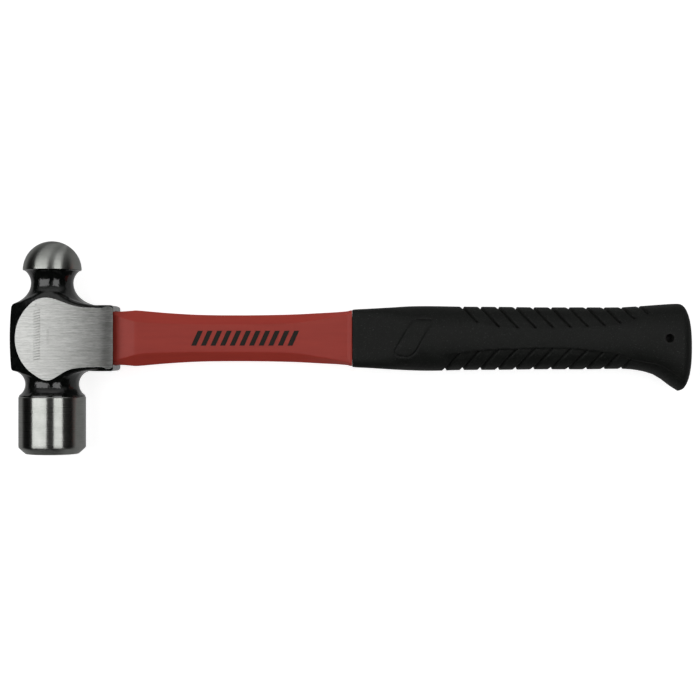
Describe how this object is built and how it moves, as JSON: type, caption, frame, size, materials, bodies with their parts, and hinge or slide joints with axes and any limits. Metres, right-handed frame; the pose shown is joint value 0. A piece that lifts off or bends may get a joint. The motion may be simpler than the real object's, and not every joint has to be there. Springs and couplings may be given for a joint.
{
  "type": "ball peen hammer",
  "caption": "Ball peen hammer: forged steel head with ground cheeks on a jacketed fibreglass handle with a grooved rubber grip and a flared butt.",
  "frame": {"origin": "centre of the round striking face", "axes": "+X along the handle from the head to the butt, +Y up the striking axis from the striking face to the ball peen, +Z square to the ground cheeks; the hammer lies on its side"},
  "size_m": [0.2839, 0.0894, 0.028],
  "materials": {
    "forged_steel": "turned and ground faces with gloss black paint between them",
    "epoxy": "cast, slightly dished",
    "fibreglass": "sawn end with fibres showing",
    "red_plastic": "moulded, satin",
    "black_rubber": "moulded, matt"
  },
  "bodies": {
    "root": {"head": "forged_steel", "eye_resin": "epoxy", "glass_core": "fibreglass", "handle_jacket": "red_plastic", "grip": "black_rubber"}
  },
  "joints": []
}
